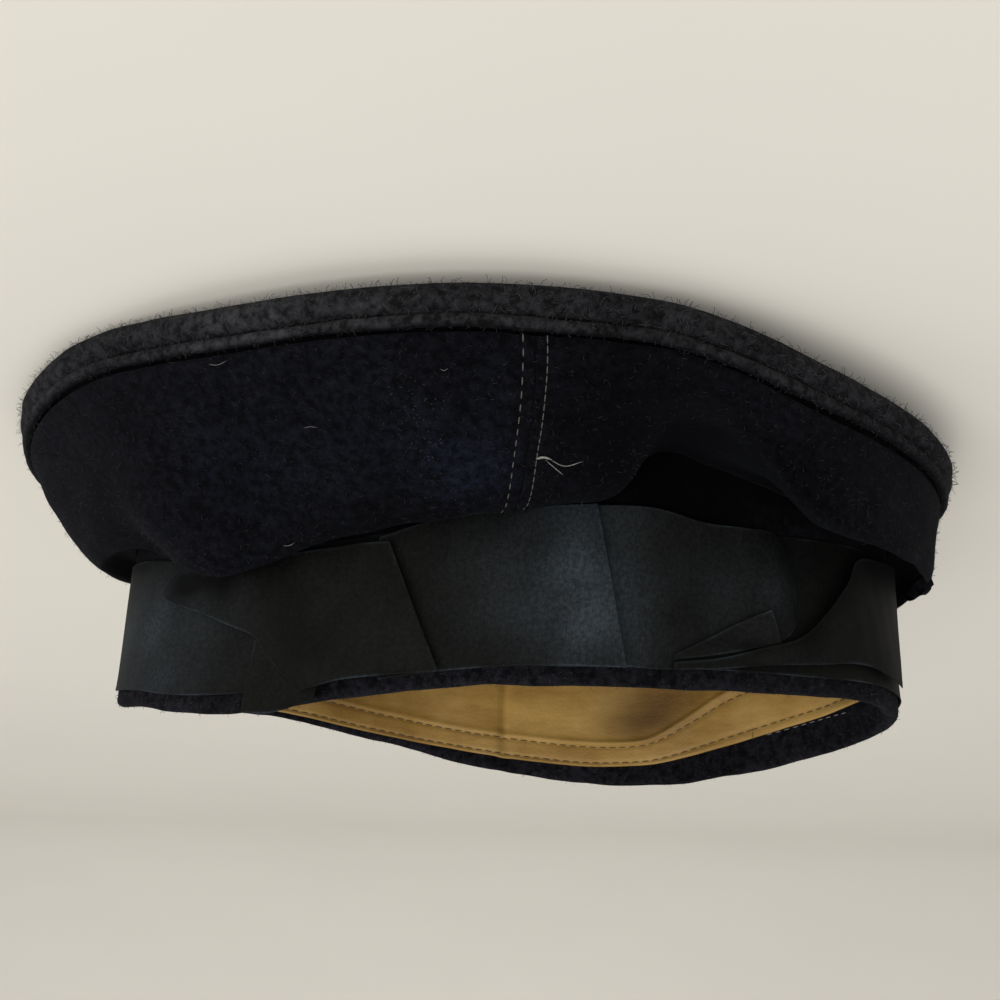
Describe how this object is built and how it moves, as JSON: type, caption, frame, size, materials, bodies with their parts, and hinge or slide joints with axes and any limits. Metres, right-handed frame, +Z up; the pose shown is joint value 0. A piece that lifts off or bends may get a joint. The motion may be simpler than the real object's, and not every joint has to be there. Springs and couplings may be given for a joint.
{
  "type": "sailor cap",
  "caption": "Soft flat-topped dark wool sailor cap with a ribbon and flat bow round its headband, lying on its crown with the leather-lined head opening up.",
  "frame": {"origin": "middle of the cap's outline, on the surface its flat crown lies on", "axes": "+Z up out of the head opening; +X the wearer's front; -Y the wearer's left side, where the bow is"},
  "size_m": [0.2832, 0.2574, 0.0919],
  "materials": {
    "navy_wool": "thick napped melton cloth, very dark navy, fuzzy",
    "black_ribbon": "thin black silk grosgrain ribbon with a faint cool sheen",
    "tan_leather": "smooth tan sweatband leather, slightly worn"
  },
  "bodies": {
    "root": {"crown_top": "navy_wool", "crown_welt": "navy_wool", "under_crown_front": "navy_wool", "under_crown_back": "navy_wool", "head_band": "navy_wool", "sweatband": "tan_leather", "tally_ribbon": "black_ribbon", "bow_centre": "black_ribbon", "bow_left_loop": "black_ribbon", "bow_tail": "black_ribbon", "bow_right_leaf": "black_ribbon", "bow_right_fold": "black_ribbon", "bow_right_loop": "black_ribbon"}
  },
  "joints": []
}
